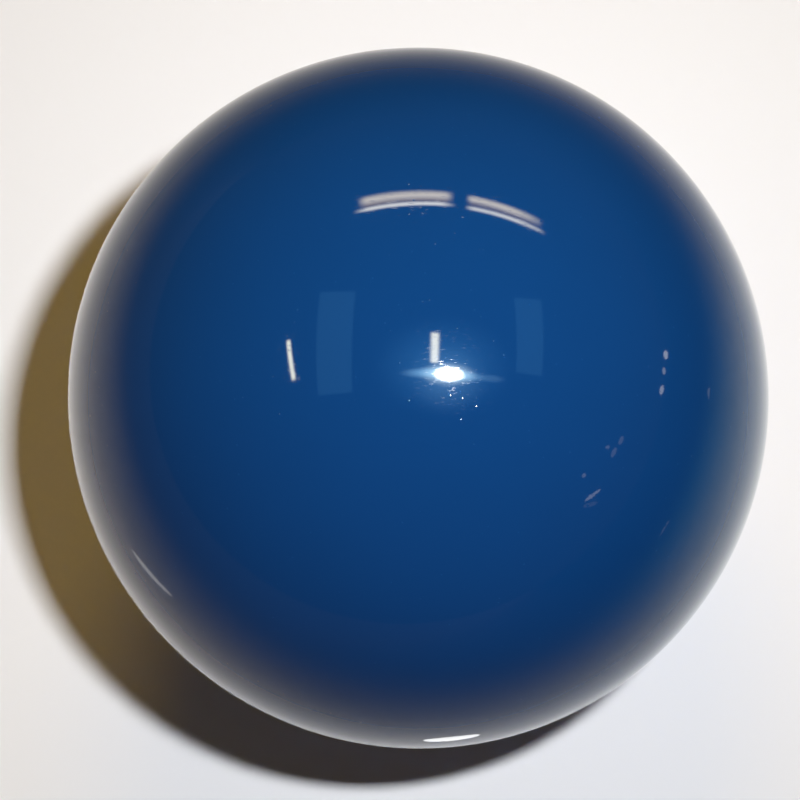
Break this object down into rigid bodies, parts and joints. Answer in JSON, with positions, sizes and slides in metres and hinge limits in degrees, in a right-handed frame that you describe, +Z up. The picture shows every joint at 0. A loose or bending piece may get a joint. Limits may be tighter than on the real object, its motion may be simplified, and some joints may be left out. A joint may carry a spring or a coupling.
{
  "type": "billiard ball",
  "caption": "Plain glossy blue billiard ball: a natural resin core inside a polished pigmented shell, rolled on a cloth-covered table by a cue.",
  "frame": {"origin": "centre of the ball", "axes": "+Z up through the top of the ball, away from the table; a plain sphere has no other marked axis"},
  "size_m": [0.0524, 0.0524, 0.0524],
  "materials": {
    "core_resin": "matte, as cast",
    "shell_resin": "polished"
  },
  "bodies": {
    "root": {"inner_core": "core_resin", "outer_shell": "shell_resin"}
  },
  "joints": []
}
